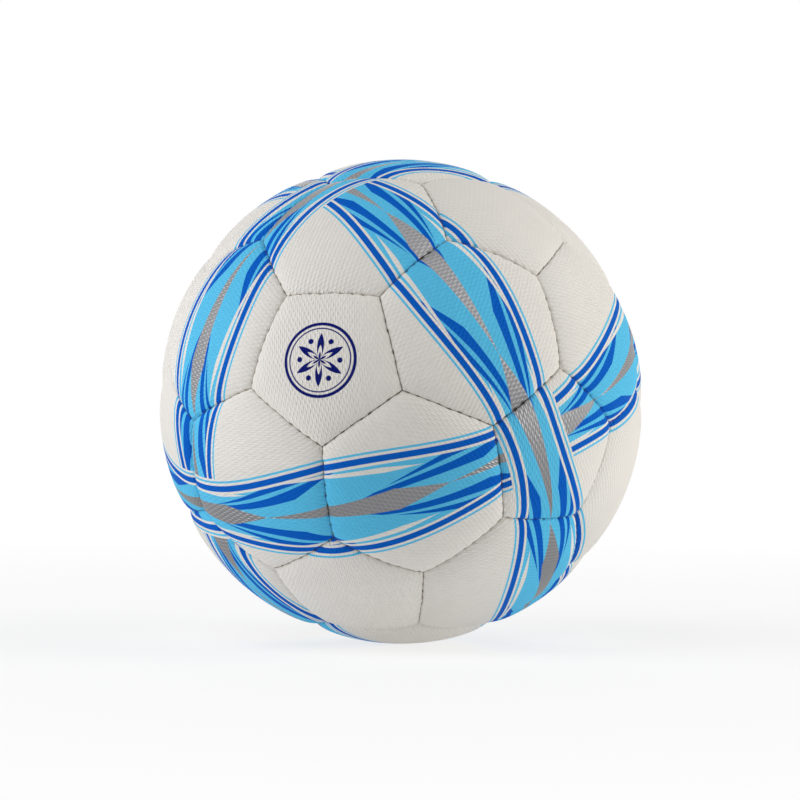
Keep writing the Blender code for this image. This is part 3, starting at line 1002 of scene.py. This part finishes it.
section = put(stitching, "GeometryNodeCurvePrimitiveCircle", THREAD_SIDES)
stitching.links.new(given["Thread Radius"], section.inputs["Radius"])
tube = put(stitching, "GeometryNodeCurveToMesh", arch.outputs[0], section.outputs[0])
tube.inputs["Fill Caps"].default_value = True
spots = put(stitching, "GeometryNodeCurveToPoints", given["Geometry"], given["Stitches"], mode="COUNT")
stand = put(stitching, "FunctionNodeAlignRotationToVector", axis="Z")
stitching.links.new(put(stitching, "GeometryNodeInputPosition").outputs[0], stand.inputs["Vector"])
aim = put(stitching, "FunctionNodeAlignRotationToVector", stand.outputs[0], axis="X", pivot_axis="Z")
stitching.links.new(spots.outputs["Tangent"], aim.inputs["Vector"])
sewn = put(stitching, "GeometryNodeInstanceOnPoints", spots.outputs["Points"])
stitching.links.new(tube.outputs[0], sewn.inputs["Instance"])
stitching.links.new(aim.outputs[0], sewn.inputs["Rotation"])
whole = put(stitching, "GeometryNodeRealizeInstances", sewn.outputs[0])
smooth = put(stitching, "GeometryNodeSetShadeSmooth", whole.outputs[0])
dressed = put(stitching, "GeometryNodeSetMaterial", smooth.outputs[0])
stitching.links.new(given["Thread"], dressed.inputs["Material"])
put(stitching, "NodeGroupOutput", dressed.outputs[0])

seams = {}
for name, centre, ring in panels:
    for k, corner in enumerate(ring):
        after = ring[(k + 1) % len(ring)]
        key = frozenset((corner.to_tuple(3), after.to_tuple(3)))
        seams.setdefault(key, [corner, after, []])[2].append(centre.z > 0)
path_steps = STITCHES * 2
inset = 0.5 / STITCHES
for kind, halves in (("upper", [True, True]), ("lower", [False, False]), ("closing", [False, True])):
    path = bpy.data.curves.new(f"seam_thread_{kind}_path", "CURVE")
    path.dimensions = "3D"
    for corner, after, sides in seams.values():
        if sorted(sides) != halves:
            continue
        spline = path.splines.new("POLY")
        spline.points.add(path_steps)
        for step, point in enumerate(spline.points):
            share = inset + (1 - 2 * inset) * step / path_steps
            point.co = (*(corner.slerp(after, share) * (BALL_RADIUS - THREAD_DEPTH)), 1.0)
    stitches = made_by(stitching, path, stitch_sizes | {"Stitches": STITCHES, "Thread": thread})
    length = add_piece(f"seam_thread_{kind}_stitches", stitches)
    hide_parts(f"seam_thread_{kind}")
    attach(length, "ball")

# Studio
# A pale floor, lit a little from below as a light table is, under five soft lamps in a white surround.
# Two lamps stand on each side and one behind, and those on the right are a little warmer.
FLOOR_GREY = (0.85, 0.85, 0.85)
FLOOR_ROUGHNESS = 0.9
FLOOR_RADIUS = 3.0
FLOOR_SIDES = 96
FLOOR_GLOW = 0.37
SHADOW_BAND = (0.15, 0.8)
SHADOW_GLOW = 0.75
FILL = 0.115
LAMP_DISTANCE = 1.6
LAMP_SIZE = 1.1
COOL_LIGHT = (0.97, 0.98, 1.00)
WARM_LIGHT = (1.00, 0.985, 0.94)
LAMPS = (
    ("left", -84, 12, 13.2, COOL_LIGHT),
    ("upper_left", -45, 55, 10.4, COOL_LIGHT),
    ("right", 82, 8, 13.6, WARM_LIGHT),
    ("upper_right", 80, 45, 6.8, WARM_LIGHT),
    ("back", 180, 10, 5.5, COOL_LIGHT),
)


def seen_rays(tree):
    """One for rays from the camera, and for those that reach it by reflection or through glass."""
    rays = put(tree, "ShaderNodeLightPath").outputs
    seen = maths(tree, "MAXIMUM", rays["Is Camera Ray"], rays["Is Glossy Ray"])
    return maths(tree, "MAXIMUM", seen, rays["Is Transmission Ray"])


ground = (0, 0, cad_box[0][2])
bpy.ops.mesh.primitive_circle_add(
    vertices=FLOOR_SIDES, radius=FLOOR_RADIUS, fill_type="NGON", location=ground
)
floor = bpy.context.object
floor.name = "studio_floor"
paper, tree, sheet, place = new_finish("pale paper")
sheet.inputs["Base Color"].default_value = (*FLOOR_GREY, 1.0)
sheet.inputs["Roughness"].default_value = FLOOR_ROUGHNESS
glow = put(tree, "ShaderNodeEmission", (1.0, 1.0, 1.0, 1.0), 1.0)
off = put(tree, "ShaderNodeVectorMath", place, operation="LENGTH").outputs["Value"]
fade = ranged(tree, off, SHADOW_BAND, (SHADOW_GLOW, 1.0))
share = maths(tree, "MAXIMUM", maths(tree, "MULTIPLY", seen_rays(tree), fade), FLOOR_GLOW)
both = put(tree, "ShaderNodeMixShader", share, sheet.outputs[0], glow.outputs[0])
tree.links.new(both.outputs[0], tree.nodes["Material Output"].inputs["Surface"])
floor.data.materials.append(paper)

world = bpy.data.worlds.new("white surround")
bpy.context.scene.world = world
world.use_nodes = True
tree = world.node_tree
surround = tree.nodes["Background"]
surround.inputs["Color"].default_value = (1.0, 1.0, 1.0, 1.0)
strength = ranged(tree, seen_rays(tree), (0.0, 1.0), (FILL, 1.0))
tree.links.new(strength, surround.inputs["Strength"])


def at_angle(bearing, height, distance):
    """A place round the ball, its bearing in degrees from the front towards the right."""
    bearing = math.radians(bearing)
    height = math.radians(height)
    level = math.cos(height)
    return Vector((math.sin(bearing) * level, -math.cos(bearing) * level, math.sin(height))) * distance


for name, bearing, height, watts, tint in LAMPS:
    light = bpy.data.lights.new(f"{name}_lamp", "AREA")
    light.shape = "DISK"
    light.size = LAMP_SIZE
    light.energy = watts
    light.color = tint
    lamp = add_piece(light.name, light)
    lamp.visible_camera = False
    lamp.location = at_angle(bearing, height, LAMP_DISTANCE)
    lamp.rotation_euler = (-lamp.location).to_track_quat("-Z", "Y").to_euler()

# Camera
# It stands low and far off with a long lens, a hair out of level.
# The lens is shifted a little, so that the ball stands where the photograph has it.
CAMERA_DISTANCE = 1.953
CAMERA_RISE = 1.5
CAMERA_ROLL = math.radians(0.37)
SENSOR_WIDTH = 36.0
FOCAL_LENGTH = 193.5
SHIFT_RIGHT = -0.0014
SHIFT_UP = 0.0020

lens = bpy.data.cameras.new("photograph")
lens.sensor_width = SENSOR_WIDTH
lens.lens = FOCAL_LENGTH
lens.shift_x = SHIFT_RIGHT
lens.shift_y = SHIFT_UP
camera = add_piece("photograph", lens)
spot = at_angle(0, CAMERA_RISE, CAMERA_DISTANCE)
aim = (-spot).to_track_quat("-Z", "Y").to_matrix() @ Matrix.Rotation(CAMERA_ROLL, 3, "Z")
camera.matrix_world = Matrix.Translation(spot) @ aim.to_4x4()
bpy.context.scene.camera = camera
bpy.context.scene.view_settings.view_transform = "Standard"
